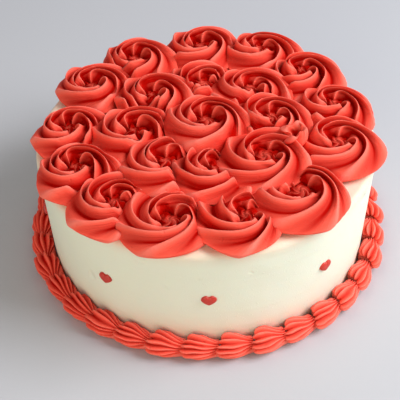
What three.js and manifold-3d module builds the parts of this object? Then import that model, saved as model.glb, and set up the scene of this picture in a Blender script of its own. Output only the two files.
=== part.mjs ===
// A round layer cake: smooth cream icing, piped rosettes over the whole top, a piped shell
// border round the foot and small hearts on the side. Millimetres, +Z up, the origin in the
// middle of the cake's underside.

import * as THREE from "three";
import { mergeVertices } from "three/addons/utils/BufferGeometryUtils.js";
import { ParametricGeometry } from "three/addons/geometries/ParametricGeometry.js";
import Module from "manifold-3d";

const wasm = await Module();
wasm.setup();

// Driving dimensions
const CAKE_HEIGHT = 77;
const CAKE_TOP_RADIUS = 104;
const CAKE_FOOT_RADIUS = 101;
const EDGE_ROUNDING = 3.5;
const PIPING_GAP = 0.3;

const ROSETTE_PETALS = 5;
const ROSETTE_HEIGHT = 14;
const ROSETTE_WAIST = 4;
const ROSETTE_HOLLOW_FLOOR = 4;
const BUD_HEIGHT = 8;
const PETAL_DEPTH = 6;
const PETAL_RISE = 1.3;
const CREST_CIRCLE = 0.42;

const SHELL_COUNT = 34;
const SHELL_THICKNESS = 15.2;
const SHELL_LENGTH = 19.6;
const SHELL_RIDGE_DEPTH = 0.3;
const SHELL_SLANT = 0.2;
const SHELL_NOTCH = 0.13;
const SHELL_FAN = 0.38;

const CURL_RADIUS = 8.5;
const CURL_HEIGHT = 11.5;
const CURL_PETALS = 4;

const HEART_WIDTH = 9;
const HEART_HEIGHT = 8;
const HEART_PROUD = 1.6;
const HEART_SUNK = 1.4;
const HEART_LEVEL = 41;

const rad = THREE.MathUtils.degToRad;

const coralIcing = new THREE.MeshStandardMaterial({ color: 0xe2463a, roughness: 0.5, metalness: 0 });
const creamIcing = new THREE.MeshStandardMaterial({ color: 0xece6d2, roughness: 0.5, metalness: 0 });

// Closed skins and solids

const SEAM_TOLERANCE = 1e-4;

// A geometry with its shared corners merged and the flat triangles at seams and poles left out.
function weld(geometry) {
  const bare = new THREE.BufferGeometry();
  bare.setAttribute("position", geometry.getAttribute("position"));
  bare.setIndex(geometry.getIndex());
  const merged = mergeVertices(bare, SEAM_TOLERANCE);
  const index = merged.getIndex().array;
  const kept = [];
  for (let i = 0; i < index.length; i += 3) {
    const [a, b, c] = [index[i], index[i + 1], index[i + 2]];
    if (a !== b && b !== c && c !== a) kept.push(a, b, c);
  }
  merged.setIndex(kept);
  return merged;
}

function toSolid(geometry) {
  const merged = weld(geometry);
  const vertProperties = new Float32Array(merged.getAttribute("position").array);
  const triVerts = new Uint32Array(merged.getIndex().array);
  return new wasm.Manifold(new wasm.Mesh({ numProp: 3, vertProperties, triVerts }));
}

function toGeometry(solid) {
  const mesh = solid.getMesh();
  const geometry = new THREE.BufferGeometry();
  geometry.setAttribute("position", new THREE.BufferAttribute(mesh.vertProperties, mesh.numProp));
  geometry.setIndex(new THREE.BufferAttribute(mesh.triVerts, 1));
  geometry.computeVertexNormals();
  return geometry;
}

function largestPiece(solid) {
  const pieces = solid.decompose();
  return pieces.reduce((best, piece) => (piece.volume() > best.volume() ? piece : best));
}

// A skin wound round an axis: columns are angles round it, and rows run from a pole to a pole.
function wind(columns, rows, place) {
  const at = new THREE.Vector3();
  const skin = (u, v, target) => {
    const column = columns[Math.round(u * columns.length) % columns.length];
    place(column, rows[Math.round(v * (rows.length - 1))], at);
    target.copy(at);
  };
  return new ParametricGeometry(skin, columns.length, rows.length - 1);
}

const model = new THREE.Group();

function addPiece(name, geometry, material) {
  const mesh = new THREE.Mesh(geometry, material);
  mesh.name = name;
  model.add(mesh);
  return mesh;
}

// The iced cake: a straight wall that widens slightly upwards, and a rounded top edge

function wallRadius(height) {
  return CAKE_FOOT_RADIUS + ((CAKE_TOP_RADIUS - CAKE_FOOT_RADIUS) * height) / CAKE_HEIGHT;
}

function cakeProfile() {
  const shoulder = CAKE_HEIGHT - EDGE_ROUNDING;
  const profile = [new THREE.Vector2(0, 0), new THREE.Vector2(CAKE_FOOT_RADIUS, 0)];
  for (const turn of [0, 45, 90]) {
    const inward = EDGE_ROUNDING * (1 - Math.cos(rad(turn)));
    const up = EDGE_ROUNDING * Math.sin(rad(turn));
    profile.push(new THREE.Vector2(wallRadius(shoulder) - inward, shoulder + up));
  }
  profile.push(new THREE.Vector2(0, CAKE_HEIGHT));
  return profile;
}

// A lathe turns round Y, so the finished cake is stood up on Z.
function icedCake() {
  const sides = 56;
  const lathe = new THREE.LatheGeometry(cakeProfile(), sides);
  lathe.rotateX(rad(90));
  return toSolid(lathe);
}

// A heart sprinkle lies flat in the wall's icing, point down, its face turned outwards.
function heart(azimuth) {
  const half = HEART_WIDTH / 2;
  const outline = new THREE.Shape();
  outline.moveTo(0, -HEART_HEIGHT / 2);
  outline.quadraticCurveTo(half, -0.1 * HEART_HEIGHT, half, 0.2 * HEART_HEIGHT);
  outline.quadraticCurveTo(0.9 * half, 0.5 * HEART_HEIGHT, 0.45 * half, 0.5 * HEART_HEIGHT);
  outline.lineTo(0, 0.25 * HEART_HEIGHT);
  outline.lineTo(-0.45 * half, 0.5 * HEART_HEIGHT);
  outline.quadraticCurveTo(-0.9 * half, 0.5 * HEART_HEIGHT, -half, 0.2 * HEART_HEIGHT);
  outline.quadraticCurveTo(-half, -0.1 * HEART_HEIGHT, 0, -HEART_HEIGHT / 2);
  const depth = HEART_PROUD + HEART_SUNK;
  const slab = new THREE.ExtrudeGeometry(outline, { depth, bevelEnabled: false, curveSegments: 2 });
  slab.rotateX(rad(90));
  slab.rotateZ(rad(90));
  slab.translate(wallRadius(HEART_LEVEL) - HEART_SUNK, 0, HEART_LEVEL);
  slab.rotateZ(rad(azimuth));
  return toSolid(slab);
}

// The hearts are spaced by eye, so their gaps differ by a few degrees.
const HEART_AZIMUTHS = [-125, -90, -49, -8, 32, 73, 113, 154, 194];

const cake = HEART_AZIMUTHS.reduce((solid, azimuth) => solid.add(heart(azimuth)), icedCake());
addPiece("cake", toGeometry(cake), creamIcing);

// A rosette: a ribbed rope of icing laid in one ring. Its ridges are the rosette's petals: they
// climb from the foot, sweep round below the ring's top and drop into the hollow in the middle.

// The rope's outline at a climb angle: -90 degrees is its widest line, 0 its top.
const FOOT_CLIMB = rad(-125);
const FLOOR_CLIMB = rad(118);
const SIDE_FULLNESS = 1.15;
const HOLLOW_FULLNESS = 0.8;

function ringOutline(climb, rosette) {
  const crest = CREST_CIRCLE * rosette.radius;
  const reach = climb < 0 ? rosette.radius - crest : crest - rosette.hollow * rosette.radius;
  const out = crest - reach * Math.sin(climb);
  if (climb < rad(-90)) {
    return { out, up: ROSETTE_WAIST * (1 - Math.cos(climb) / Math.cos(FOOT_CLIMB)) };
  }
  if (climb < 0) {
    const side = Math.max(Math.cos(climb), 0) ** SIDE_FULLNESS;
    return { out, up: ROSETTE_WAIST + (ROSETTE_HEIGHT - ROSETTE_WAIST) * side };
  }
  const fall = ((1 + Math.cos((climb * Math.PI) / FLOOR_CLIMB)) / 2) ** HOLLOW_FULLNESS;
  return { out, up: ROSETTE_HOLLOW_FLOOR + (ROSETTE_HEIGHT - ROSETTE_HOLLOW_FLOOR) * fall };
}

// How far round the petals are turned at a climb angle: most of it comes just below the top.
const STEADY_TURN = 0.32;
const SWEEP = rad(76);
const SWEEP_SPREAD = rad(7);
const SWEEP_AT = rad(-19);
const SWEEP_SPAN = rad(26);

function petalTurn(climb, seed) {
  const sweep = SWEEP + SWEEP_SPREAD * Math.sin(5 * seed);
  return STEADY_TURN * Math.min(climb, 0) + sweep * Math.tanh((climb - SWEEP_AT) / SWEEP_SPAN);
}

// The petals of a hand-piped rosette differ in depth, in place and in height.
const DEPTH_SPREAD = 0.3;
const SHIFT_SPREAD = 0.22;

function petalDepth(petal, seed) {
  return 1 + DEPTH_SPREAD * Math.sin(2.4 * seed + 2.1 * petal + 0.7 * petal * petal);
}

function petalShift(petal, seed) {
  return SHIFT_SPREAD * Math.sin(1.7 * seed + 2.9 * petal);
}

function petalRise(petal, seed) {
  return PETAL_RISE * Math.sin(3.1 * seed + 1.9 * petal + 1);
}

// A hand-piped ring is not quite round: it bulges to one side and is a little oval.
const BULGE = 0.03;
const OVALNESS = 0.02;

function uneven(turn, seed) {
  return 1 + BULGE * Math.sin(turn + seed) + OVALNESS * Math.sin(2 * turn + 2.1 * seed);
}

// A place on the rosette at a climb and turn, moved off the outline along its normal and then
// up. The hollow leans off the foot's middle, so the rows move over as they climb.
function ringPoint(rosette, climb, turn, proud, rise, target) {
  const step = 0.01;
  const here = ringOutline(climb, rosette);
  const next = ringOutline(climb + step, rosette);
  const length = Math.hypot(next.out - here.out, next.up - here.up);
  const normalOut = (next.up - here.up) / length;
  const normalUp = (here.out - next.out) / length;
  const out = (here.out + proud * normalOut) * uneven(turn, rosette.seed);
  const higher = rise * Math.max(Math.cos(climb), 0) ** 2;
  const up = Math.max(here.up + proud * normalUp + higher, 0) + rosette.lift;
  const led = climb < 0 ? Math.max(1 + Math.sin(climb), 0) : 1;
  const x = out * Math.cos(turn) + led * rosette.lean[0];
  const y = out * Math.sin(turn) + led * rosette.lean[1];
  target.set(x, y, up);
}

const FOOT_ROW = "foot";
const HOLLOW_ROW = "hollow";
const UNDERSIDE_ROW = "underside";

// Two columns a petal: its lip, and the bottom of the groove before the next lip. The grooves
// are deepest at the ring's top.
const GROOVE_PLACE = 0.46;
const FOOT_SHARE = 0.3;
const FLOOR_SHARE = 0.7;
const GROOVE_FULLNESS = 0.8;

function grooveShare(climb) {
  if (climb < 0) {
    return FOOT_SHARE + (1 - FOOT_SHARE) * Math.max(Math.cos(climb), 0) ** GROOVE_FULLNESS;
  }
  return 1 - ((1 - FLOOR_SHARE) * climb) / FLOOR_CLIMB;
}

function pipedRing(rosette) {
  const columns = [];
  for (let petal = 0; petal < ROSETTE_PETALS; petal += 1) {
    columns.push({ petal, place: 0 });
    columns.push({ petal, place: GROOVE_PLACE });
  }
  const climbs = [-125, -95, -70, -50, -35, -22, -10, 5, 30, 70, 118].map(rad);
  const rows = [UNDERSIDE_ROW, ...(rosette.lift > 0 ? [FOOT_ROW] : []), ...climbs, HOLLOW_ROW];
  const place = (column, row, target) => {
    const climb = typeof row === "number" ? row : FOOT_CLIMB;
    const after = (column.petal + 1) % ROSETTE_PETALS;
    const between = (value) => value(column.petal, rosette.seed) * (1 - column.place)
      + value(after, rosette.seed) * column.place;
    const around = ((column.petal + column.place) * 2 * Math.PI) / ROSETTE_PETALS;
    const turn = around + between(petalShift) + petalTurn(climb, rosette.seed) + rosette.phase;
    const grooveDepth = PETAL_DEPTH * grooveShare(climb) * between(petalDepth);
    const depth = column.place > 0 ? grooveDepth : 0;
    ringPoint(rosette, climb, turn, -depth, between(petalRise), target);
    if (row === FOOT_ROW) target.z = 0;
    if (row === UNDERSIDE_ROW) target.set(0, 0, 0);
    if (row === HOLLOW_ROW) {
      target.set(rosette.lean[0], rosette.lean[1], BUD_HEIGHT + rosette.lift);
    }
  };
  return toSolid(wind(columns, rows, place));
}

// The room that a rosette takes, with the gap: its outline without petals or hollow.
function pipedRoom(rosette) {
  const sides = 12;
  const columns = Array.from({ length: sides }, (_, i) => (i * 2 * Math.PI) / sides);
  const climbs = [-90, -70, -50, -35, -22, -10, 5].map(rad);
  const rows = [UNDERSIDE_ROW, FOOT_ROW, ...climbs, HOLLOW_ROW];
  const clearOfFlats = 1 / Math.cos(Math.PI / sides);
  const widest = rad(-90);
  const place = (turn, row, target) => {
    const climb = typeof row === "number" ? row : widest;
    ringPoint(rosette, climb, turn, PIPING_GAP, PETAL_RISE, target);
    target.x *= clearOfFlats;
    target.y *= clearOfFlats;
    if (row === FOOT_ROW) target.z = -PIPING_GAP;
    if (row === UNDERSIDE_ROW) target.set(0, 0, -PIPING_GAP);
    if (row === HOLLOW_ROW) {
      const top = ROSETTE_HEIGHT + PETAL_RISE + PIPING_GAP + rosette.lift;
      target.set(rosette.lean[0], rosette.lean[1], top);
    }
  };
  return toSolid(wind(columns, rows, place));
}

// The rosettes in the order they are piped, each over the edges of those before it. They are
// placed by eye, so each has its own azimuth, distance from the middle and radius. It also has
// its own share of a petal by which its petals are turned, share of its radius that its hollow
// takes at the bottom, and lean of the hollow off the foot's middle.
const RIM = { name: "rosette_rim", lift: 0 };
const RING = { name: "rosette_ring", lift: 2.5 };
const MIDDLE = { name: "rosette_middle", lift: 5 };

const ROSETTES = [
  { row: RIM, azimuth: 91, distance: 86, radius: 28, share: 0.1, hollow: 0.17, lean: [-1, 0] },
  { row: RIM, azimuth: 63, distance: 86.5, radius: 27.5, share: 0.6, hollow: 0.13, lean: [-3, 5] },
  { row: RIM, azimuth: 121, distance: 85, radius: 27.5, share: 0.4, hollow: 0.17, lean: [-3, 0] },
  { row: RIM, azimuth: 37, distance: 82.5, radius: 27, share: 0.1, hollow: 0.12, lean: [-3, 6] },
  { row: RIM, azimuth: 147, distance: 83, radius: 27, share: 0.2, hollow: 0.15, lean: [-3, -2] },
  { row: RIM, azimuth: 9, distance: 81.5, radius: 27, share: 0.9, hollow: 0.14, lean: [-1, 6] },
  { row: RIM, azimuth: -176, distance: 80.5, radius: 26.5, share: 0.9, hollow: 0.12, lean: [-3, 5] },
  { row: RIM, azimuth: -16, distance: 81, radius: 29, share: 0.2, hollow: 0.15, lean: [0, 4] },
  { row: RIM, azimuth: -151, distance: 85, radius: 27.5, share: 0.6, hollow: 0.13, lean: [-2, 4] },
  { row: RIM, azimuth: -128, distance: 86, radius: 27.5, share: 0.3, hollow: 0.14, lean: [1, 0] },
  { row: RIM, azimuth: -106, distance: 84, radius: 28.5, share: 0, hollow: 0.17, lean: [3, -3] },
  { row: RIM, azimuth: -78, distance: 82.5, radius: 27.5, share: 0.2, hollow: 0.15, lean: [4, 0] },
  { row: RIM, azimuth: -51, distance: 83, radius: 30, share: 0.5, hollow: 0.18, lean: [0, 3] },
  { row: RING, azimuth: 92, distance: 39, radius: 28, share: 0.4, hollow: 0.18, lean: [0, 0] },
  { row: RING, azimuth: 139, distance: 43, radius: 28, share: 0.1, hollow: 0.11, lean: [-1, 0] },
  { row: RING, azimuth: 48, distance: 43.5, radius: 28, share: 0.9, hollow: 0.14, lean: [-1, 1] },
  { row: RING, azimuth: -170, distance: 43, radius: 29, share: 0.8, hollow: 0.12, lean: [-1, 0] },
  { row: RING, azimuth: 2, distance: 40, radius: 28, share: 0.5, hollow: 0.13, lean: [0, 2] },
  { row: RING, azimuth: -121, distance: 44, radius: 28.5, share: 0.2, hollow: 0.14, lean: [-1, 1] },
  { row: RING, azimuth: -84, distance: 45.5, radius: 27.5, share: 0.7, hollow: 0.11, lean: [0, 1] },
  { row: MIDDLE, azimuth: -90, distance: 3, radius: 29, share: 0.5, hollow: 0.17, lean: [0, 1] },
  { row: RING, azimuth: -46, distance: 47, radius: 29.5, share: 0.1, hollow: 0.2, lean: [1, 0] },
];

const piped = ROSETTES.map((rosette, order) => ({
  ...rosette,
  lift: rosette.row.lift,
  seed: order,
  phase: (rosette.share * 2 * Math.PI) / ROSETTE_PETALS,
  centre: new THREE.Vector3(
    rosette.distance * Math.cos(rad(rosette.azimuth)),
    rosette.distance * Math.sin(rad(rosette.azimuth)),
    CAKE_HEIGHT + PIPING_GAP,
  ),
}));

// A solid with the room of later rosettes cut out of it, where the solid stands at a place.
// Rosettes that stand further off than both reach, with this margin, are passed over.
const REACH_MARGIN = 1.1;

function cutClear(solid, place, reach, rosettes) {
  return rosettes.reduce((rest, rosette) => {
    const between = rosette.centre.clone().sub(place);
    if (between.length() > REACH_MARGIN * (rosette.radius + reach)) return rest;
    return rest.subtract(pipedRoom(rosette).translate(between.toArray()));
  }, solid);
}

const pipedInRow = new Map();
piped.forEach((rosette, order) => {
  const later = piped.slice(order + 1);
  const solid = cutClear(pipedRing(rosette), rosette.centre, rosette.radius, later);
  const count = (pipedInRow.get(rosette.row) ?? 0) + 1;
  pipedInRow.set(rosette.row, count);
  const name = `${rosette.row.name}_${String(count).padStart(2, "0")}`;
  addPiece(name, toGeometry(largestPiece(solid)), coralIcing).position.copy(rosette.centre);
});

// A last dab of icing rests between three rosettes: a small curl with a hollow in it, drawn out
// to one side. Rows run from the middle of its underside over its top into the hollow.
const CURL_PLACE = new THREE.Vector3(53, -18.5, 85);
const CURL_GROOVE = 0.34;
const CURL_SWEEP = rad(80);
const CURL_TAIL_TURN = rad(115);
const CURL_TAIL = 0.35;

const CURL_ROWS = [
  { out: 0, up: 0 },
  { out: 0.8, up: 0 },
  { out: 1, up: 0.5 },
  { out: 0.88, up: 0.85 },
  { out: 0.64, up: 1 },
  { out: 0.4, up: 0.7 },
  { out: 0, up: 0.4 },
];

function curl() {
  const sides = 3 * CURL_PETALS;
  const columns = Array.from({ length: sides }, (_, i) => (i * 2 * Math.PI) / sides);
  const place = (around, row, target) => {
    const groove = (CURL_GROOVE * (1 - Math.cos(CURL_PETALS * around))) / 2;
    const turn = around + CURL_SWEEP * row.up;
    const tail = CURL_TAIL * Math.max(Math.cos(turn - CURL_TAIL_TURN), 0) ** 2;
    const out = CURL_RADIUS * row.out * (1 - groove) * (1 + tail);
    target.set(out * Math.cos(turn), out * Math.sin(turn), CURL_HEIGHT * row.up);
  };
  return toSolid(wind(columns, CURL_ROWS, place));
}

const laidCurl = cutClear(curl(), CURL_PLACE, 2 * CURL_RADIUS, piped);
addPiece("curl", toGeometry(largestPiece(laidCurl)), coralIcing).position.copy(CURL_PLACE);

// A shell: a fat ribbed head that tapers to a tail, lying in the corner between the wall and
// what the cake stands on. Its ridges fan out from the tail, and their tips make a scalloped
// head that starts just past the tail of the shell before it.

// Ridges and grooves stand on the side that shows, at these angles: 0 is outwards, 90 is up.
const SHELL_COLUMNS = [
  { angle: 118, groove: 0 },
  { angle: 104, groove: 1 },
  { angle: 90, groove: 0 },
  { angle: 76, groove: 1 },
  { angle: 62, groove: 0 },
  { angle: 48, groove: 1 },
  { angle: 34, groove: 0 },
  { angle: 20, groove: 1 },
  { angle: 6, groove: 0 },
  { angle: -8, groove: 1 },
  { angle: -22, groove: 0 },
  { angle: -36, groove: 1 },
  { angle: -50, groove: 0 },
  { angle: -110, groove: 0 },
  { angle: -190, groove: 0 },
];

// Rows from the hollow in the scalloped head to the end of the tail, with the share of the
// full thickness that each has.
const SHELL_ROWS = [
  { from: "hollow", share: 0 },
  { from: "tips", along: 0, share: 0.68 },
  { from: "tips", along: 0.13, share: 0.96 },
  { from: "tips", along: 0.55, share: 0.92 },
  { from: "tips", along: 1, share: 0.66 },
  { from: "tail", share: 0 },
];

// The foremost tips face out and a little up, and the others start further back.
const FOREMOST_ANGLE = 25;
const HEAD_HOLLOW = 0.3;

// The head's middle line lies this far from the wall and above the ground, in half thicknesses.
const HEAD_OFF_WALL = 1.05;
const HEAD_OFF_GROUND = 0.95;

// Towards the tail the ridges of the side that shows draw together, and all but those on the
// hidden side sink with the tail.
const LOWEST_RIDGE = -50;
const TAIL_GROOVE_LOSS = 0.6;
const TAIL_SHIFT_IN = 0.3;
const TAIL_SINKING = 0.25;

function alongShell(column, row) {
  if (row.from === "hollow") return HEAD_HOLLOW;
  if (row.from === "tail") return 1;
  const slant = SHELL_SLANT * (1 - Math.cos(rad(column.angle - FOREMOST_ANGLE)));
  const start = slant + SHELL_NOTCH * column.groove;
  return start + (1 - start) * row.along;
}

function shell(azimuth, size) {
  const half = (SHELL_THICKNESS / 2) * size;
  const pathRadius = CAKE_FOOT_RADIUS + SHELL_THICKNESS / 2;
  const place = (column, row, target) => {
    const along = alongShell(column, row);
    const depth = SHELL_RIDGE_DEPTH * column.groove * (1 - TAIL_GROOVE_LOSS * along);
    const reach = half * row.share * (1 - depth);
    const axisOut = half * (HEAD_OFF_WALL - TAIL_SHIFT_IN * along ** 2);
    const axisUp = half * (HEAD_OFF_GROUND - TAIL_SINKING * along ** 2);
    const drawn = column.angle < LOWEST_RIDGE ? 0 : SHELL_FAN * along ** 2;
    const angle = rad(column.angle * (1 - drawn));
    const up = Math.max(axisUp + reach * Math.sin(angle), 0);
    const off = Math.max(axisOut + reach * Math.cos(angle), PIPING_GAP);
    const turn = rad(azimuth) + ((along - 0.5) * SHELL_LENGTH) / pathRadius;
    const out = wallRadius(up) + off;
    target.set(out * Math.cos(turn), out * Math.sin(turn), up);
  };
  return toGeometry(toSolid(wind(SHELL_COLUMNS, SHELL_ROWS, place)));
}

// The border starts a little past the +X side, and the shells differ a little in size.
const FIRST_SHELL_AZIMUTH = 1.7;
const SHELL_SIZE_SPREAD = 0.04;

for (let i = 0; i < SHELL_COUNT; i += 1) {
  const size = 1 + SHELL_SIZE_SPREAD * Math.sin(2.4 * i);
  const azimuth = FIRST_SHELL_AZIMUTH + (i * 360) / SHELL_COUNT;
  addPiece(`shell_${String(i + 1).padStart(2, "0")}`, shell(azimuth, size), coralIcing);
}

export default model;
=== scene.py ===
import math
import bmesh
import bpy
import numpy as np
from mathutils import Matrix, Vector


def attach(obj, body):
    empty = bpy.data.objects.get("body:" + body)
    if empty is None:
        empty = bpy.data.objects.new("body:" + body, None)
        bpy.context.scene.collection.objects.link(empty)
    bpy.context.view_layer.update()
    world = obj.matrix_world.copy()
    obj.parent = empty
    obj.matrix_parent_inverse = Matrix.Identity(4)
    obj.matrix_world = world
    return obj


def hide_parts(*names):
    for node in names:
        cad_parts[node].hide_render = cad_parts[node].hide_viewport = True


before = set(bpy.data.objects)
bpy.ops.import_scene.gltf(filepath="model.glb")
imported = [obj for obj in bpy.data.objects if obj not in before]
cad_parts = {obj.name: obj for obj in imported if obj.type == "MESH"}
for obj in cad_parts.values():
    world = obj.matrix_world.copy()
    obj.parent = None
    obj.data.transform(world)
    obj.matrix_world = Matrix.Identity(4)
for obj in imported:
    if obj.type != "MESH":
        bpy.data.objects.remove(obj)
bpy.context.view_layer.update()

# The iced cake. A layer cake of about eight inches, covered with cream buttercream that is
# drawn smooth with a scraper: a wall that widens slightly upwards, faint drag lines round it,
# and an edge at the top that is only slightly rounded.
MM = 0.001

# Sizes are in millimetres. Azimuths are in degrees from the right, and the front is at -90.
CAKE_HEIGHT = 77.0
CAKE_TOP_RADIUS = 104.0
CAKE_FOOT_RADIUS = 101.0
EDGE_ROUNDING = 3.5
FLAT_RADIUS = 60.0
CAKE_COLUMNS = 180
WALL_ROWS = 36
EDGE_ROWS = 6
MERGE_WITHIN = 0.002

# The scraper leaves slow waves in the wall, drawn inwards from its outline.
SCRAPER_MARGIN = 0.16
SCRAPER_WAVE = 0.22
WAVES_ROUND = (3, 7)
WAVE_CLIMB = 60
SCRAPED_BEYOND = 90.0
SCRAPED_ABOVE = 1.0

# Warm ivory, and faint red light thrown back by the rosettes, painted on the top few millimetres.
CREAM = (0.84, 0.85, 0.69, 1)
CREAM_SHADE = (0.81, 0.80, 0.61, 1)
CREAM_RED_BOUNCE = (0.82, 0.56, 0.40, 1)
RED_BOUNCE_FROM = 0.066
RED_BOUNCE_OVER = 0.011
DRAG_LINES = (9, 9, 420)


class Shade:
    """One value in a finish: arithmetic on it adds Math nodes, and node() adds any other."""

    def __init__(self, tree, socket=None):
        self.tree = tree
        self.socket = socket

    def node(self, kind, settings, inputs, output=0):
        made = self.tree.nodes.new(kind)
        for name, value in settings.items():
            setattr(made, name, value)
        for name, value in inputs.items():
            if isinstance(value, Shade):
                self.tree.links.new(value.socket, made.inputs[name])
            else:
                made.inputs[name].default_value = value
        return Shade(self.tree, made.outputs[output])

    def math(self, operation, first, second=0.0, clamp=False):
        settings = {"operation": operation, "use_clamp": clamp}
        return self.node("ShaderNodeMath", settings, {0: first, 1: second})

    def __add__(self, other):
        return self.math("ADD", self, other)

    __radd__ = __add__

    def __sub__(self, other):
        return self.math("SUBTRACT", self, other)

    def __rsub__(self, other):
        return self.math("SUBTRACT", other, self)

    def __mul__(self, other):
        return self.math("MULTIPLY", self, other)

    __rmul__ = __mul__

    def clamped(self):
        return self.math("ADD", self, 0.0, clamp=True)

    def noise(self, place, scale, detail):
        inputs = {"Vector": place, "Scale": scale, "Detail": detail}
        return self.node("ShaderNodeTexNoise", {}, inputs, "Fac")

    def mix(self, share, first, second):
        inputs = {0: share, 6: first, 7: second}
        return self.node("ShaderNodeMix", {"data_type": "RGBA"}, inputs, 2)

    def stretched(self, place, scale):
        return self.node("ShaderNodeMapping", {}, {"Vector": place, "Scale": scale})

    def bump(self, height, distance, before=None):
        inputs = {"Height": height, "Distance": distance, "Strength": 1.0}
        if before is not None:
            inputs["Normal"] = before
        return self.node("ShaderNodeBump", {}, inputs)


def new_finish(name, constants):
    """A material with its fixed values set, and a Shade that adds nodes to it."""
    material = bpy.data.materials.new(name)
    material.use_nodes = True
    shader = material.node_tree.nodes["Principled BSDF"]
    for socket, value in constants.items():
        shader.inputs[socket].default_value = value
    return material, Shade(material.node_tree)


def feed(material, color, roughness, normal):
    shader = material.node_tree.nodes["Principled BSDF"]
    for socket, value in (("Base Color", color), ("Roughness", roughness), ("Normal", normal)):
        material.node_tree.links.new(value.socket, shader.inputs[socket])


BUTTERCREAM = {
    "Specular IOR Level": 0.35,
    "Subsurface Weight": 0.12,
    "Subsurface Radius": (1.0, 0.45, 0.25),
    "Subsurface Scale": 0.002,
}


def cream_icing():
    """Cream buttercream: patchy, with drag lines and a few bubbles, and painted red light near the
    top.
    """
    material, tone = new_finish("cream_icing", BUTTERCREAM)
    place = tone.node("ShaderNodeTexCoord", {}, {}, "Object")
    height = tone.node("ShaderNodeSeparateXYZ", {}, {"Vector": place}, "Z")
    drag = tone.noise(tone.stretched(place, DRAG_LINES), scale=1.0, detail=3.0)
    patches = tone.noise(place, scale=28.0, detail=2.0)
    bubbles = tone.noise(place, scale=110.0, detail=0.0)
    pores = tone.noise(place, scale=900.0, detail=1.0)
    # Painted light: the rosettes' red light thrown back onto the top of the wall.
    near_top = ((height - RED_BOUNCE_FROM) * (1 / RED_BOUNCE_OVER)).clamped()
    red_bounce = (near_top * near_top * (patches * 1.2 + 0.15)).clamped()
    shaded = tone.mix(patches * 0.5 + drag * 0.2, CREAM, CREAM_SHADE)
    color = tone.mix(red_bounce, shaded, CREAM_RED_BOUNCE)
    roughness = 0.42 + patches * 0.12 + drag * 0.1
    lumpy = tone.bump(patches, distance=0.0012)
    lined = tone.bump(drag, distance=0.00018, before=lumpy)
    bubbly = tone.bump((0.2 - bubbles).clamped() * -4.0, distance=0.001, before=lined)
    normal = tone.bump((pores - 0.62).clamped(), distance=0.0005, before=bubbly)
    feed(material, color, roughness, normal)
    return material


def keep_piece(name, form, finish, nodes):
    """Makes a closed bmesh a piece of the cake that stands for the named solids."""
    bmesh.ops.recalc_face_normals(form, faces=form.faces)
    mesh = bpy.data.meshes.new(name)
    form.to_mesh(mesh)
    form.free()
    mesh.materials.append(finish)
    mesh.polygons.foreach_set("use_smooth", [True] * len(mesh.polygons))
    piece = bpy.data.objects.new(name, mesh)
    bpy.context.scene.collection.objects.link(piece)
    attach(piece, "root")
    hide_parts(*nodes)


def wall_radius(height):
    return CAKE_FOOT_RADIUS + (CAKE_TOP_RADIUS - CAKE_FOOT_RADIUS) * height / CAKE_HEIGHT


def iced_profile():
    """Half of the cake's outline from the middle of its foot to the middle of its top."""
    shoulder = CAKE_HEIGHT - EDGE_ROUNDING
    heights = np.linspace(0.0, shoulder, WALL_ROWS + 1)
    points = [(0.0, 0.0), (FLAT_RADIUS, 0.0)]
    points += [(wall_radius(height) - SCRAPER_MARGIN, height) for height in heights]
    for turn in np.radians(np.linspace(90 / EDGE_ROWS, 90, EDGE_ROWS)):
        inward = EDGE_ROUNDING * (1 - math.cos(turn)) + SCRAPER_MARGIN
        points.append((wall_radius(shoulder) - inward, shoulder + EDGE_ROUNDING * math.sin(turn)))
    return points + [(FLAT_RADIUS, CAKE_HEIGHT), (0.0, CAKE_HEIGHT)]


def iced_cake():
    """The outline spun round, with the scraper's slow waves drawn inwards from it."""
    form = bmesh.new()
    verts = [form.verts.new((out * MM, 0, up * MM)) for out, up in iced_profile()]
    edges = [form.edges.new(pair) for pair in zip(verts, verts[1:])]
    bmesh.ops.spin(form, geom=verts + edges, cent=(0, 0, 0), axis=(0, 0, 1),
                   angle=2 * math.pi, steps=CAKE_COLUMNS, use_merge=True)
    bmesh.ops.remove_doubles(form, verts=form.verts, dist=MERGE_WITHIN * MM)
    few, many = WAVES_ROUND
    for vert in form.verts:
        azimuth = math.atan2(vert.co.y, vert.co.x)
        swell = math.sin(few * azimuth + 1) + math.sin(many * azimuth + WAVE_CLIMB * vert.co.z + 2)
        inward = SCRAPER_WAVE * MM * (swell + 2) / 4
        if vert.co.xy.length > SCRAPED_BEYOND * MM and vert.co.z > SCRAPED_ABOVE * MM:
            vert.co.xy -= vert.co.xy.normalized() * inward
    return form


cream = cream_icing()
keep_piece("iced_cake", iced_cake(), cream, ["cake"])

# Heart sprinkles. Nine pressed sugar hearts, nine millimetres wide and glossy, are set point
# down in a row round the wall, pushed a little way into the soft icing.
HEART_WIDTH = 9.0
HEART_HEIGHT = 8.0
HEART_PROUD = 1.6
HEART_LEVEL = 41.0
HEART_BEDDED = 0.1
HEART_COLUMNS = 40
HEART_ROWS = 20
HEART_AZIMUTHS = [-125, -90, -49, -8, 32, 73, 113, 154, 194]

# The outline: two lobes with a notch between them over a point, and a plump edge.
HEART_NOTCH = 0.32
HEART_NOTCH_WIDTH = 0.24
HEART_POINTED = 0.55
HEART_POINT_CURVE = 1.4
HEART_LOBES = 0.92
HEART_RAISED = 0.5
HEART_PLUMPNESS = 0.8

HEART_RED = (0.62, 0.040, 0.016, 1)
HEART_DEEP = (0.50, 0.014, 0.006, 1)


def heart_sugar():
    material, tone = new_finish("heart_sugar", {"Coat Weight": 0.12, "Coat Roughness": 0.3})
    place = tone.node("ShaderNodeTexCoord", {}, {}, "Object")
    specks = tone.noise(place, scale=700.0, detail=3.0)
    color = tone.mix(specks, HEART_DEEP, HEART_RED)
    feed(material, color, 0.28 + specks * 0.2, tone.bump(specks, distance=0.00015))
    return material


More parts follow.
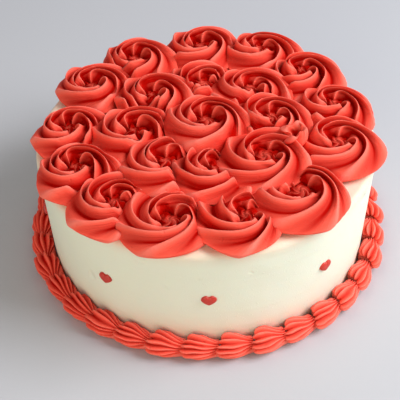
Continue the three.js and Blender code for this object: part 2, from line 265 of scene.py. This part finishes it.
def heart(azimuth):
    """A ball flattened and bent into a pillow with a heart outline, its face outwards."""
    form = bmesh.new()
    bmesh.ops.create_uvsphere(form, u_segments=HEART_COLUMNS, v_segments=HEART_ROWS, radius=1)
    for vert in form.verts:
        flat = math.hypot(vert.co.x, vert.co.y)
        turn = math.atan2(vert.co.y, vert.co.x)
        wide = math.cos(turn)
        tall = math.sin(turn)
        full = flat ** HEART_PLUMPNESS
        if tall > 0:
            tall = HEART_LOBES * tall - HEART_NOTCH * math.exp(-(wide / HEART_NOTCH_WIDTH) ** 2)
        else:
            wide = wide * (1 - HEART_POINTED * abs(tall) ** HEART_POINT_CURVE)
        across = HEART_WIDTH / 2 * wide * full
        up = (HEART_HEIGHT / 2 * tall + HEART_RAISED) * full
        thick = HEART_PROUD * math.copysign(abs(vert.co.z) ** HEART_PLUMPNESS, vert.co.z)
        vert.co = (thick * MM, across * MM, up * MM)
    out = wall_radius(HEART_LEVEL) - HEART_BEDDED
    place = Matrix.Rotation(math.radians(azimuth), 4, "Z")
    place @= Matrix.Translation((out * MM, 0, HEART_LEVEL * MM))
    bmesh.ops.transform(form, matrix=place, verts=form.verts)
    return form


sugar = heart_sugar()
for count, azimuth in enumerate(HEART_AZIMUTHS, 1):
    keep_piece(f"heart_{count:02d}", heart(azimuth), sugar, ["cake"])

# Rosettes. Coral buttercream is piped with a star tip in one coil for each, from a bud in its
# middle outwards, so its ridges stand as thin-lipped petals that sweep round. The rim row is
# piped first, then the ring over its inner edges, with the middle one just before the last.
PETALS = 5
PETAL_COLUMNS = 24
CLIMB_ROWS = 85
BUD_ROWS = 16
ROSETTE_HEIGHT = 14.0
ROSETTE_WAIST = 4.0
ROSETTE_HOLLOW_FLOOR = 4.0
CREST_CIRCLE = 0.42
SIDE_FULLNESS = 1.15
HOLLOW_FULLNESS = 0.8
OUTLINE_STEP = 0.01
ICING_GAP = 0.3

# The petals: how unalike they are, how their grooves run out, and how their lips lean over.
PETAL_DEPTH = 6.0
PETAL_SIZE_SPREAD = 0.3
PETAL_SHIFT_SPREAD = 0.22
PETAL_RISE = 1.3
FOOT_SHARE = 0.3
FOOT_FULLNESS = 0.8
FLOOR_SHARE = 0.7
GROOVE_BIAS = 0.9
GROOVE_FULLNESS = 0.9
LIP_ROUNDING = 0.12
LIP_LEAN = 0.2
LEAN_THINNESS = 1.5
LEAN_FROM = -1.6
LEAN_SPAN = 0.5

# The small relief on a petal: three fine ridges along it and a crinkled lip.
FINE_RIDGES = 3
FINE_DEPTH = 0.45
FINE_WAVER = 0.5
LIP_CRINKLE = 0.3
CRINKLE_WAVES = (25, 39)
CRINKLE_MEAN = 0.7
CRINKLE_SWING = 0.4
CRINKLE_PATCHES = 0.3
CRINKLE_THINNESS = 4
RELIEF_FROM = -2.0
RELIEF_SPAN = 0.6

# How the ridges turn on their way up, the bud, and what keeps a coil from being round.
STEADY_TURN = 0.32
SWEEP = 76
SWEEP_SPREAD = 7
SWEEP_AT = -19
SWEEP_SPAN = 26
BUD_RISE = 5.0
BUD_TURN = 1.6
BUD_TILT = 0.15
BUD_FULLNESS = 0.6
BUD_SMOOTHING = 1.6
COIL_GROWTH = 0.10
COIL_END = 0.07
BULGE = 0.03
OVALNESS = 0.02

# How far a rosette is pressed down by those that are piped over its edges.
PRESSED_SHARE = 0.75
PRESSED_FROM = 0.98
PRESSED_OVER = 0.22

# The coral red, with a paler painted highlight on the lips and painted shade, a deeper red, in
# grooves, on the sides of folds and in the hollow.
CORAL = (0.99, 0.116, 0.072, 1)
CORAL_LIP_HIGHLIGHT = (1.0, 0.235, 0.175, 1)
CORAL_PAINTED_SHADE = (0.46, 0.002, 0.0, 1)
LIP_HIGHLIGHT_FALL = 2.8
PAINTED_SHADE_FROM = 0.34
PAINTED_SHADE_RISE = 1.75
STEEP_BELOW = 0.75
STEEP_SPAN = 0.65
FOLDS_WITHIN = 0.85
FOLDS_FADE = 0.25
FOLD_PAINTED_SHADE = 0.31
HOLLOW_PAINTED_SHADE = 0.26
HOLLOW_SHADE_FROM = 0.5
HOLLOW_SHADE_SPAN = 1.2
FINE_RIDGE_SHADE = 0.12
SHADE_FULLNESS = 0.7

# Drag lines are closer round the coil than along it, and no two rosettes have the same.
LAY_ROUND = 26
LAY_ALONG = 1.2
LAY_APART = 7

# The climb angle goes round the coil's outline: from its foot over 0, the crest, to the hollow.
FOOT_CLIMB = math.radians(-125)
FLOOR_CLIMB = math.radians(118)


def coral_icing():
    """Coral buttercream: painted highlights on lips, painted shade in grooves, drag lines and
    pits.
    """
    material, tone = new_finish("coral_icing", {**BUTTERCREAM, "Specular IOR Level": 0.03})
    place = tone.node("ShaderNodeTexCoord", {}, {}, "Object")
    attribute = {"attribute_type": "GEOMETRY", "attribute_name": "groove"}
    groove = tone.node("ShaderNodeAttribute", attribute, {}, "Fac")
    attribute = {"attribute_type": "GEOMETRY", "attribute_name": "lay"}
    lay = tone.node("ShaderNodeAttribute", attribute, {}, "Vector")
    patches = tone.noise(place, scale=60.0, detail=3.0)
    drag = tone.noise(lay, scale=1.0, detail=2.0)
    pits = tone.noise(place, scale=330.0, detail=0.0)
    grit = tone.noise(place, scale=1500.0, detail=1.0)
    # Painted light from the groove share: a paler highlight on the lips, a deeper red shade in
    # grooves.
    lip_highlight = (1.0 - groove * LIP_HIGHLIGHT_FALL).clamped()
    painted_shade = ((groove - PAINTED_SHADE_FROM) * PAINTED_SHADE_RISE).clamped()
    highlighted = tone.mix(lip_highlight * (patches * 0.6 + 0.4), CORAL, CORAL_LIP_HIGHLIGHT)
    color = tone.mix(painted_shade, highlighted, CORAL_PAINTED_SHADE)
    roughness = 0.46 + patches * 0.14 + drag * 0.08
    lined = tone.bump(drag, distance=0.0006)
    pitted = tone.bump((0.25 - pits).clamped() * -4.0, distance=0.0006, before=lined)
    normal = tone.bump(grit, distance=0.00008, before=pitted)
    feed(material, color, roughness, normal)
    return material


def ramp(value, start, span):
    """0 up to the start, 1 from the span beyond it on, and a straight rise between."""
    return np.clip((value - start) / span, 0, 1)


def smooth(value, low, high):
    """As a ramp, but rising softly from the low end to the high one."""
    share = ramp(value, low, high - low)
    return share * share * (3 - 2 * share)


def ring_outline(climb, radius, hollow):
    """The rope's outline: how far out and up it is at a climb angle, 0 being its crest."""
    crest = CREST_CIRCLE * radius
    reach = np.where(climb < 0, radius - crest, crest - hollow * radius)
    out = crest - reach * np.sin(climb)
    under = ROSETTE_WAIST * (1 - np.cos(climb) / math.cos(FOOT_CLIMB))
    full = np.maximum(np.cos(climb), 0) ** SIDE_FULLNESS
    side = ROSETTE_WAIST + (ROSETTE_HEIGHT - ROSETTE_WAIST) * full
    full = np.maximum((1 + np.cos(climb * math.pi / FLOOR_CLIMB)) / 2, 0) ** HOLLOW_FULLNESS
    inside = ROSETTE_HOLLOW_FLOOR + (ROSETTE_HEIGHT - ROSETTE_HOLLOW_FLOOR) * full
    up = np.where(climb < -math.pi / 2, under, np.where(climb < 0, side, inside))
    return out, up


def groove_share(place):
    """How far a place between two lips lies below them: thin lips and a rounded groove."""
    arch = np.sin(math.pi * place ** GROOVE_BIAS)
    return (np.sqrt(arch * arch + LIP_ROUNDING ** 2) - LIP_ROUNDING) ** GROOVE_FULLNESS


def depth_left(climb):
    """The share of the grooves' depth at a climb: all on the crest, less at foot and floor."""
    foot = FOOT_SHARE + (1 - FOOT_SHARE) * np.maximum(np.cos(climb), 0) ** FOOT_FULLNESS
    return np.where(climb < 0, foot, 1 - (1 - FLOOR_SHARE) * climb / FLOOR_CLIMB)


def ridge_turn(climb, seed):
    """Ridges rise steeply from the foot, sweep round below the crest and drop into the hollow."""
    sweep = math.radians(SWEEP + SWEEP_SPREAD * math.sin(5 * seed))
    return (STEADY_TURN * np.minimum(climb, 0)
            + sweep * np.tanh((climb - math.radians(SWEEP_AT)) / math.radians(SWEEP_SPAN)))


def small_relief(climb, between, groove, petal, seed):
    """Fine ridges along a petal, from 0 to 1, and how deep its lip is crinkled."""
    waver = FINE_WAVER * np.sin(2 * climb + seed)
    fine = (1 - np.cos(2 * math.pi * FINE_RIDGES * between + waver)) / 2
    short, shorter = CRINKLE_WAVES
    crinkle = (np.sin(short * climb + 7 * petal + seed) + np.sin(shorter * climb + 3 * petal)) / 2
    swing = CRINKLE_SWING + CRINKLE_PATCHES * np.sin(3 * climb + petal)
    crinkle = CRINKLE_MEAN + crinkle * swing
    return fine, LIP_CRINKLE * (1 - groove) ** CRINKLE_THINNESS * crinkle


def unevenness(climb, turn, tail, seed):
    """The outermost turn of a coil grows until its tail, and no coil is quite round."""
    outer = np.clip(-np.sin(climb), 0, 1) * (climb < 0)
    coil = ((tail - turn) / (2 * math.pi)) % 1.0
    grown = 1 + outer * COIL_GROWTH * (coil * smooth(1 - coil, 0, COIL_END) - 0.5)
    return grown * (1 + BULGE * np.sin(turn + seed) + OVALNESS * np.sin(2 * turn + 2.1 * seed))


def pressed_down(x, y, later):
    """How much of its height a rosette loses at a place under those piped over its edges."""
    share = np.zeros(len(x))
    for centre, radius in later:
        inside = PRESSED_FROM * radius - np.hypot(x - centre[0], y - centre[1])
        share = np.maximum(share, PRESSED_SHARE * smooth(inside, 0, PRESSED_OVER * radius))
    return share


def bent_sheet(columns, rows, place):
    """
    A sheet of columns by rows, bent by a formula and closed along its seam and poles. The
    formula also gives each place its share of painted shade, kept as its groove, and its lay,
    where the drag lines run.
    """
    form = bmesh.new()
    groove = form.verts.layers.float.new("groove")
    lay = form.verts.layers.float_vector.new("lay")
    bmesh.ops.create_grid(form, x_segments=columns, y_segments=rows, size=0.5)
    flat = np.array([vert.co.xy for vert in form.verts]) + 0.5
    column = np.rint(flat[:, 0] * columns).astype(int) % columns
    row = np.rint(flat[:, 1] * rows).astype(int)
    where, grooves, lays = place(column, row)
    for vert, at, depth, along in zip(form.verts, where.tolist(), grooves, lays.tolist()):
        vert.co = at
        vert[groove] = depth
        vert[lay] = along
    bmesh.ops.remove_doubles(form, verts=form.verts, dist=MERGE_WITHIN * MM)
    return form


def paint_fold_shade(form, centre, radius):
    """Paints shade, a deeper red, on the folds' steep sides, where red light stays between them.
    """
    bmesh.ops.recalc_face_normals(form, faces=form.faces)
    form.normal_update()
    groove = form.verts.layers.float["groove"]
    for vert in form.verts:
        away = math.hypot(vert.co.x / MM - centre[0], vert.co.y / MM - centre[1]) / radius
        steep = min(max((STEEP_BELOW - vert.normal.z) / STEEP_SPAN, 0), 1)
        within = min(max((FOLDS_WITHIN - away) / FOLDS_FADE, 0), 1)
        vert[groove] = min(vert[groove] + FOLD_PAINTED_SHADE * steep * within, 1)


def rosette(centre, radius, lift, share, hollow, lean, tail, seed, later):
    """
    Rows climb from the middle of the underside over the crest to the bud in the hollow. The
    numbers beside the seed and the petals only keep the rosettes and their petals unalike.
    """
    petals = np.arange(PETALS)
    petal_size = 1 + PETAL_SIZE_SPREAD * np.sin(2.4 * seed + 2.1 * petals + 0.7 * petals ** 2)
    petal_shift = PETAL_SHIFT_SPREAD * np.sin(1.7 * seed + 2.9 * petals)
    petal_rise = PETAL_RISE * np.sin(3.1 * seed + 1.9 * petals + 1)
    columns = PETALS * PETAL_COLUMNS
    climbs = np.linspace(FOOT_CLIMB, FLOOR_CLIMB, CLIMB_ROWS)
    climb_at = np.concatenate([[FOOT_CLIMB], climbs, np.full(BUD_ROWS, FLOOR_CLIMB)])
    toward = np.concatenate([np.zeros(CLIMB_ROWS + 1), np.linspace(0, 1, BUD_ROWS + 1)[1:]])
    under = np.concatenate([[1.0], np.zeros(CLIMB_ROWS + BUD_ROWS)])
    base = CAKE_HEIGHT + ICING_GAP

    def place(column, row):
        climb, inward, foot = climb_at[row], toward[row], under[row]
        petal = column // PETAL_COLUMNS
        between = (column % PETAL_COLUMNS) / PETAL_COLUMNS

        def blended(values):
            return values[petal] * (1 - between) + values[(petal + 1) % PETALS] * between

        groove = groove_share(between)
        around = column / columns * 2 * math.pi + blended(petal_shift)
        turn = around + ridge_turn(climb, seed) + share * 2 * math.pi / PETALS + BUD_TURN * inward
        leaning = LIP_LEAN * (1 - groove) ** LEAN_THINNESS * ramp(climb, LEAN_FROM, LEAN_SPAN)
        out, up = ring_outline(climb + leaning * (1 - inward), radius, hollow)
        out_next, up_next = ring_outline(climb + leaning + OUTLINE_STEP, radius, hollow)
        length = np.hypot(out_next - out, up_next - up) + 1e-9
        normal_out, normal_up = (up_next - up) / length, (out - out_next) / length

        fade = depth_left(climb)
        fine, crinkle = small_relief(climb, between, groove, petal, seed)
        shown = ramp(climb, RELIEF_FROM, RELIEF_SPAN) * (1 - inward)
        depth = PETAL_DEPTH * blended(petal_size) * groove * fade
        depth = (depth + (FINE_DEPTH * fine + crinkle) * shown) * (1 - inward) ** BUD_SMOOTHING

        tilted = 1 - BUD_TILT + BUD_TILT * np.cos(turn - tail)
        bud = BUD_RISE * tilted * (1 - (1 - inward) ** 2) ** BUD_FULLNESS
        higher = blended(petal_rise) * np.maximum(np.cos(climb), 0) ** 2
        up = (np.maximum(up - depth * normal_up + higher, 0) + bud) * (1 - foot)
        out = (out - depth * normal_out) * (1 - inward) * (1 - foot)
        out = out * unevenness(climb, turn, tail, seed)
        led = np.where(climb < 0, np.clip(1 + np.sin(climb), 0, 1), 1.0)
        x = centre[0] + out * np.cos(turn) + lean[0] * led
        y = centre[1] + out * np.sin(turn) + lean[1] * led
        height = (lift + up) * (1 - pressed_down(x, y, later))
        where = np.stack([x, y, base + height], 1) * MM

        lays = np.stack([LAY_ROUND * np.cos(around), LAY_ROUND * np.sin(around),
                         LAY_ALONG * climb + LAY_APART * seed], 1)
        # Painted shade, kept as the groove share: in grooves and fine troughs, and deeper in the
        # hollow.
        sunk = HOLLOW_PAINTED_SHADE * ramp(climb, HOLLOW_SHADE_FROM, HOLLOW_SHADE_SPAN)
        painted_shading = groove * np.sqrt(1 - inward) * fade ** SHADE_FULLNESS
        return where, np.minimum(painted_shading + FINE_RIDGE_SHADE * fine * shown + sunk, 1), lays

    form = bent_sheet(columns, len(climb_at) - 1, place)
    paint_fold_shade(form, centre, radius)
    return form


# In the order they are piped. The share is that of a petal by which the petals are turned, the
# hollow is a share of the radius, and the hollow leans off the middle of the foot.
ROSETTES = [
    # row, azimuth, distance, radius, share, hollow, lean, azimuth of the tail
    ("rim", 91, 86, 28, 0.1, 0.17, (-1, 0), 200),
    ("rim", 63, 86.5, 27.5, 0.6, 0.13, (-3, 5), 150),
    ("rim", 121, 85, 27.5, 0.4, 0.17, (-3, 0), 230),
    ("rim", 37, 82.5, 27, 0.1, 0.12, (-3, 6), 100),
    ("rim", 147, 83, 27, 0.2, 0.15, (-3, -2), 260),
    ("rim", 9, 81.5, 27, 0.9, 0.14, (-1, 6), 80),
    ("rim", -176, 80.5, 26.5, 0.9, 0.12, (-3, 5), 300),
    ("rim", -16, 81, 29, 0.2, 0.15, (0, 4), 60),
    ("rim", -151, 85, 27.5, 0.6, 0.13, (-2, 4), -60),
    ("rim", -128, 86, 27.5, 0.3, 0.14, (1, 0), -50),
    ("rim", -106, 84, 28.5, 0, 0.17, (3, -3), -20),
    ("rim", -78, 82.5, 27.5, 0.2, 0.15, (4, 0), 0),
    ("rim", -51, 83, 30, 0.5, 0.18, (0, 3), 20),
    ("ring", 92, 39, 28, 0.4, 0.18, (0, 0), 170),
    ("ring", 139, 43, 28, 0.1, 0.11, (-1, 0), 210),
    ("ring", 48, 43.5, 28, 0.9, 0.14, (-1, 1), 120),
    ("ring", -170, 43, 29, 0.8, 0.12, (-1, 0), 250),
    ("ring", 2, 40, 28, 0.5, 0.13, (0, 2), 90),
    ("ring", -121, 44, 28.5, 0.2, 0.14, (-1, 1), -90),
    ("ring", -84, 45.5, 27.5, 0.7, 0.11, (0, 1), -150),
    ("middle", -90, 3, 29, 0.5, 0.17, (0, 1), -120),
    ("ring", -46, 47, 29.5, 0.1, 0.20, (1, 0), 10),
]
LIFTS = {"rim": 0.0, "ring": 2.5, "middle": 5.0}

coral = coral_icing()
counts = {row: 0 for row in LIFTS}
laid = []
for azimuth, distance, radius in (entry[1:4] for entry in ROSETTES):
    turn = math.radians(azimuth)
    laid.append(((distance * math.cos(turn), distance * math.sin(turn)), radius))
for seed, (row, azimuth, distance, radius, share, hollow, lean, tail) in enumerate(ROSETTES):
    counts[row] += 1
    name = f"rosette_{row}_{counts[row]:02d}"
    centre, later = laid[seed][0], laid[seed + 1:]
    tail = math.radians(tail)
    form = rosette(centre, radius, LIFTS[row], share, hollow, lean, tail, seed, later)
    keep_piece(name + "_petals", form, coral, [name])

# The curl. A last dab of coral icing, turned off the tip into a small ruffled curl with a
# hollow in it, rests between three rosettes, drawn out to one side.
CURL_PLACE = (53.0, -18.5, 85.0)
CURL_RADIUS = 8.5
CURL_HEIGHT = 11.5
CURL_PETALS = 4
CURL_GROOVE = 0.34
CURL_SWEEP = math.radians(80)
CURL_TAIL_TURN = math.radians(115)
CURL_TAIL = 0.35

# Its outline as shares of the radius and the height, from the foot to the hollow's floor.
CURL_OUT = [0, 0.8, 1, 0.88, 0.64, 0.4, 0]
CURL_UP = [0, 0, 0.5, 0.85, 1, 0.7, 0.4]
CURL_COLUMNS = 60
CURL_ROWS = 48
CURL_SOFTENED = 7
CURL_TOP = 1.05
CURL_LEVEL = 0.9
CURL_TILT = 0.16
CURL_TILT_TURN = 1.2
CURL_RUFFLES = (0.08, 0.06)
CURL_LIP_WAVE = 0.04
CURL_LAY_ROUND = 12
CURL_LAY_ALONG = 2
CURL_HOLLOW_FROM = 0.78
CURL_HOLLOW_SPAN = 0.12
# Painted shade, a deeper red, in the curl's grooves and its hollow.
CURL_GROOVE_SHADE = 0.3
CURL_HOLLOW_SHADE = 0.8


def softened_outline(values):
    """A value for each row of the curl, with the corners between the named ones rounded."""
    knots = np.linspace(0, 1, len(values))
    rows = np.interp(np.linspace(0, 1, CURL_ROWS + 1), knots, values)
    kept = CURL_SOFTENED // 2
    rows[kept:-kept] = np.convolve(rows, np.ones(CURL_SOFTENED) / CURL_SOFTENED, "valid")
    return rows


def curl():
    """Rows climb from the middle of its foot over the ruffled lip to the floor of its hollow."""
    outs = softened_outline(CURL_OUT)
    ups = softened_outline(CURL_UP)
    broad, narrow = CURL_RUFFLES

    def place(column, row):
        out, up = outs[row], ups[row]
        around = column / CURL_COLUMNS * 2 * math.pi
        groove = (1 - np.cos(CURL_PETALS * around)) / 2
        turn = around + CURL_SWEEP * up
        tail = CURL_TAIL * np.maximum(np.cos(turn - CURL_TAIL_TURN), 0) ** 2
        ruffle = broad * np.sin(3 * around + 2 + 3 * up) + narrow * np.sin(7 * around - 5 * up)
        out = CURL_RADIUS * out * (1 - CURL_GROOVE * groove) * (1 + tail) * (1 + ruffle * up)
        x = CURL_PLACE[0] + out * np.cos(turn)
        y = CURL_PLACE[1] + out * np.sin(turn)
        rise = CURL_LEVEL + CURL_TILT * np.sin(turn + CURL_TILT_TURN)
        rise = rise + CURL_LIP_WAVE * np.sin(7 * around)
        z = CURL_PLACE[2] + CURL_HEIGHT * np.minimum(up * rise, CURL_TOP)
        lays = np.stack([CURL_LAY_ROUND * np.cos(around), CURL_LAY_ROUND * np.sin(around),
                         CURL_LAY_ALONG * up], 1)
        # Painted shade in the grooves and the hollow, kept as the groove share.
        hollow = ramp(row / CURL_ROWS, CURL_HOLLOW_FROM, CURL_HOLLOW_SPAN)
        painted_shading = groove * CURL_GROOVE_SHADE + CURL_HOLLOW_SHADE * hollow
        return np.stack([x, y, z], 1) * MM, np.minimum(painted_shading, 1), lays

    form = bent_sheet(CURL_COLUMNS, CURL_ROWS, place)
    paint_fold_shade(form, CURL_PLACE, 2 * CURL_RADIUS)
    return form


keep_piece("curl_of_icing", curl(), coral, ["curl"])

# The shell border. Thirty-four shells are piped with a smaller star tip one after another round
# the foot: each swells into a ribbed, scalloped head against the wall and is drawn out into a
# tail, which the next shell's head covers.
SHELL_COUNT = 34
SHELL_THICKNESS = 15.2
SHELL_LENGTH = 20.6
SHELL_SIZE_SPREAD = 0.04
SHELL_FILLING = 0.96
SHELL_RIDGE_DEPTH = 0.36
SHELL_SLANT = 0.15
SHELL_NOTCH = 0.13
SHELL_FAN = 0.6
SHELL_FAN_MIDDLE = 60
SHELL_SEED = 500
FIRST_SHELL_AZIMUTH = 1.7
FOREMOST_ANGLE = math.radians(25)

# Ridges stand round the shell at these angles, 0 being outwards and 90 up.
RIDGE_ANGLES = [196, 160, 124, 89, 54, 18, -17, -52]
RIDGE_COLUMNS = 9
RIDGE_FULLNESS = 0.8
RIDGE_ANGLE_SPREAD = 3.2
RIDGE_LOSS_SPREAD = 0.05
UPPER_RIDGES = slice(1, 5)
UPPER_RIDGE_GAIN = 0.13
RIDGE_WAVER = 0.07
WAVER_END = 0.5
HIDDEN_COLUMNS = 13
HIDDEN_SIZE = 0.96

# The face of the head is a cap with a hollow in it. The head swells to its full size at the
# end of its dome, and the tail sinks to the foot of the wall, tapers and loses its grooves.
CAP_ROWS = 8
CAP_END = 0.92
HEAD_ROWS = 14
HEAD_END = 0.25
TAIL_ROWS = 22
HEAD_HOLLOW = 0.30
HEAD_EDGE = 0.60
HEAD_DOME = 0.20
HEAD_GROOVE = 0.5
HEAD_OFF_WALL = 0.88
HEAD_OFF_FLOOR = 0.95
WIDENED_OUT = 1.17
WIDENED_TO_WALL = 1.1
TAIL_END = 1.1
TAIL_FROM = 0.25
TAIL_TAPER = 0.32
TAPER_FROM = 0.45
TAIL_GROOVE_LOSS = 0.3
GROOVE_LOSS_END = 0.95
TAIL_DROP = 0.32
TAIL_SHIFT_IN = 0.1

# Grooves get painted shade, a deeper red, and so do all the shells on the shady side, on the left.
GROOVE_PAINTED_SHADE = 0.75
SHADE_LOSS_FROM = 0.3
SHADY_SIDE_TINT = 0.26
SHELL_LAY_ROUND = 14
SHELL_LAY_APART = 5


def shell_columns(chance):
    """For each column its angle, share of a groove, size, and pull to the fan's middle."""
    ridges = np.array(RIDGE_ANGLES) + chance.normal(0, RIDGE_ANGLE_SPREAD, len(RIDGE_ANGLES))
    ridge_size = 1 - np.abs(chance.normal(0, RIDGE_LOSS_SPREAD, len(RIDGE_ANGLES)))
    upper = ridge_size[UPPER_RIDGES]
    upper += chance.uniform(0, UPPER_RIDGE_GAIN, len(upper))
    angles, grooves, sizes = [], [], []
    for ridge in range(len(ridges) - 1):
        for between in np.arange(RIDGE_COLUMNS) / RIDGE_COLUMNS:
            angles.append(ridges[ridge] * (1 - between) + ridges[ridge + 1] * between)
            sizes.append(ridge_size[ridge] * (1 - between) + ridge_size[ridge + 1] * between)
            grooves.append(((1 - math.cos(2 * math.pi * between)) / 2) ** RIDGE_FULLNESS)
    hidden = np.linspace(ridges[-1], ridges[0] - 360, HIDDEN_COLUMNS + 1)[:-1]
    drawn = np.interp(hidden, [ridges[0] - 360, ridges[-1]], [ridges[0], ridges[-1]])
    pull = -SHELL_FAN * np.radians(np.concatenate([angles, drawn]) - SHELL_FAN_MIDDLE)
    angles = np.radians(np.concatenate([angles, hidden]))
    grooves = np.concatenate([grooves, np.zeros(HIDDEN_COLUMNS)])
    sizes = np.concatenate([sizes, np.full(HIDDEN_COLUMNS, HIDDEN_SIZE)])
    return angles, grooves, sizes, pull


def shell_rows():
    """Rows from the hollow in the head over its scalloped edge and along to the tail's end."""
    cap = np.linspace(0, CAP_END, CAP_ROWS)
    head = np.linspace(0, HEAD_END, HEAD_ROWS)
    body = np.concatenate([head, np.linspace(HEAD_END, 1.0, TAIL_ROWS)[1:], [1.0]])
    on_cap = np.concatenate([cap, np.ones(len(body))])
    down = np.concatenate([np.zeros(len(cap)), body])
    closed = np.concatenate([np.zeros(len(on_cap) - 1), [1.0]])
    return on_cap, down, closed


def shell(index):
    """A ribbed skin round an axis that leans from the wall, its ribs fanned to the tail."""
    half = SHELL_THICKNESS / 2 * (1 + SHELL_SIZE_SPREAD * math.sin(2.4 * index))
    path = CAKE_FOOT_RADIUS + half
    azimuth = math.radians(FIRST_SHELL_AZIMUTH + index * 360 / SHELL_COUNT)
    shady = SHADY_SIDE_TINT * ((1 - math.cos(azimuth)) / 2) ** 2
    angles, grooves, sizes, pull = shell_columns(np.random.default_rng(SHELL_SEED + index))
    starts = SHELL_SLANT * (1 - np.cos(angles - FOREMOST_ANGLE)) + SHELL_NOTCH * grooves
    on_cap, down, closed = shell_rows()

    def place(column, row):
        angle, groove, start = angles[column], grooves[column], starts[column]
        share, cap = down[row], on_cap[row]
        within_head = start * cap + HEAD_HOLLOW * (1 - cap)
        along = np.where(cap < 1, within_head, start + (TAIL_END - start) * share)
        angle = angle + pull[column] * np.clip(along, 0, 1) ** 2
        waver = np.sin(6 * along + 2.2 * angle + 1.7 * index) * smooth(along, 0, WAVER_END)
        angle = angle + RIDGE_WAVER * waver

        rounded = np.sqrt(1 - (1 - np.minimum(share / HEAD_DOME, 1)) ** 2)
        dome = HEAD_EDGE + (1 - HEAD_EDGE) * rounded
        taper = 1 - TAIL_TAPER * smooth(along, TAPER_FROM, TAIL_END)
        loss = TAIL_GROOVE_LOSS * smooth(along, TAIL_FROM, GROOVE_LOSS_END)
        depth = SHELL_RIDGE_DEPTH * (1 - loss) * groove
        face = HEAD_EDGE * cap * (1 - HEAD_GROOVE * groove)
        reach = np.where(cap < 1, face, dome * taper * (1 - depth))
        reach = reach * SHELL_FILLING * half * sizes[column] * (1 - closed[row])

        sunk = smooth(along, TAIL_FROM, 1)
        up = half * (HEAD_OFF_FLOOR - TAIL_DROP * sunk) + reach * np.sin(angle)
        up = np.maximum(up, 0)
        aside = np.where(np.cos(angle) > 0, WIDENED_OUT, WIDENED_TO_WALL) * np.cos(angle)
        off = half * (HEAD_OFF_WALL - TAIL_SHIFT_IN * sunk) + reach * aside
        out = wall_radius(up) + np.maximum(off, ICING_GAP)
        turn = azimuth + (along - 0.5) * SHELL_LENGTH / path
        where = np.stack([out * np.cos(turn), out * np.sin(turn), up], 1) * MM
        lays = np.stack([SHELL_LAY_ROUND * np.cos(angle), SHELL_LAY_ROUND * np.sin(angle),
                         along + SHELL_LAY_APART * index], 1)
        # Painted shade in the grooves, fading along the tail, with more on the shady left side.
        less_shade = TAIL_GROOVE_LOSS * smooth(along, SHADE_LOSS_FROM, 1)
        return where, shady + GROOVE_PAINTED_SHADE * groove * (1 - less_shade), lays

    return bent_sheet(len(angles), len(down) - 1, place)


for index in range(SHELL_COUNT):
    name = f"shell_{index + 1:02d}"
    keep_piece(name + "_icing", shell(index), coral, [name])

# The studio. A plain pale surface under the cake, a large soft light from the right, a weak warm
# one from the left, and the camera where the photograph was taken: its aim is turned by small
# angles off the middle of the cake's foot.
FLOOR_SIZE = 4.0
FLOOR_CELLS = 8
FLOOR_PALE = (0.525, 0.52, 0.53, 1)
FLOOR_SHADE = (0.50, 0.495, 0.505, 1)
LIGHTS = [
    # name, place, size, power, colour
    ("window_light", (1.0, -0.12, 0.95), 0.9, 24, (0.94, 0.975, 1.04)),
    ("fill_light", (-0.5, -1.1, 0.5), 1.0, 6, (1.02, 0.93, 0.70)),
]
LIT_POINT = (0, 0, 0.05)
ROOM_LIGHT = (0.85, 0.87, 0.92, 1)
ROOM_STRENGTH = 0.45
CAMERA_DISTANCE = 626.09101
CAMERA_ELEVATION = 43.9185
AIM = {"Z": 1.0355, "X": -1.5964, "Y": -0.432}
FOCAL_PIXELS = 937.18
PICTURE_PIXELS = 400
SENSOR_WIDTH = 36
NEAREST_SEEN = 0.01


def floor_finish():
    material, tone = new_finish("studio_floor", {"Specular IOR Level": 0.2})
    place = tone.node("ShaderNodeTexCoord", {}, {}, "Object")
    clouds = tone.noise(place, scale=1.2, detail=1.0)
    grain = tone.noise(place, scale=400.0, detail=1.0)
    color = tone.mix(clouds, FLOOR_PALE, FLOOR_SHADE)
    feed(material, color, 0.6 + grain * 0.1, tone.bump(grain, distance=0.00005))
    return material


form = bmesh.new()
bmesh.ops.create_grid(form, x_segments=FLOOR_CELLS, y_segments=FLOOR_CELLS, size=FLOOR_SIZE)
mesh = bpy.data.meshes.new("studio_floor")
form.to_mesh(mesh)
form.free()
mesh.materials.append(floor_finish())
floor = bpy.data.objects.new("studio_floor", mesh)
bpy.context.scene.collection.objects.link(floor)


def soft_light(name, place, size, power, color):
    lamp = bpy.data.lights.new(name, "AREA")
    lamp.size = size
    lamp.energy = power
    lamp.color = color
    hung = bpy.data.objects.new(name, lamp)
    bpy.context.scene.collection.objects.link(hung)
    hung.location = place
    hung.rotation_mode = "QUATERNION"
    hung.rotation_quaternion = (Vector(LIT_POINT) - Vector(place)).to_track_quat("-Z", "Y")


for light in LIGHTS:
    soft_light(*light)
world = bpy.data.worlds.new("studio_world")
bpy.context.scene.world = world
world.use_nodes = True
room = world.node_tree.nodes["Background"]
room.inputs["Color"].default_value = ROOM_LIGHT
room.inputs["Strength"].default_value = ROOM_STRENGTH

elevation = math.radians(CAMERA_ELEVATION)
eye = CAMERA_DISTANCE * Vector((0, -math.cos(elevation), math.sin(elevation)))
forward = -eye.normalized()
right = Vector((1, 0, 0))
level = Matrix((right, right.cross(forward), -forward))
aim = Matrix.Identity(3)
for axis, turn in AIM.items():
    aim = aim @ Matrix.Rotation(math.radians(turn), 3, axis)
lens = bpy.data.cameras.new("photo_camera")
lens.sensor_width = SENSOR_WIDTH
lens.lens = FOCAL_PIXELS / PICTURE_PIXELS * SENSOR_WIDTH
lens.clip_start = NEAREST_SEEN
camera = bpy.data.objects.new("photo_camera", lens)
bpy.context.scene.collection.objects.link(camera)
camera.matrix_world = Matrix.Translation(eye * MM) @ (aim @ level).transposed().to_4x4()
bpy.context.scene.camera = camera
bpy.context.scene.view_settings.view_transform = "Standard"
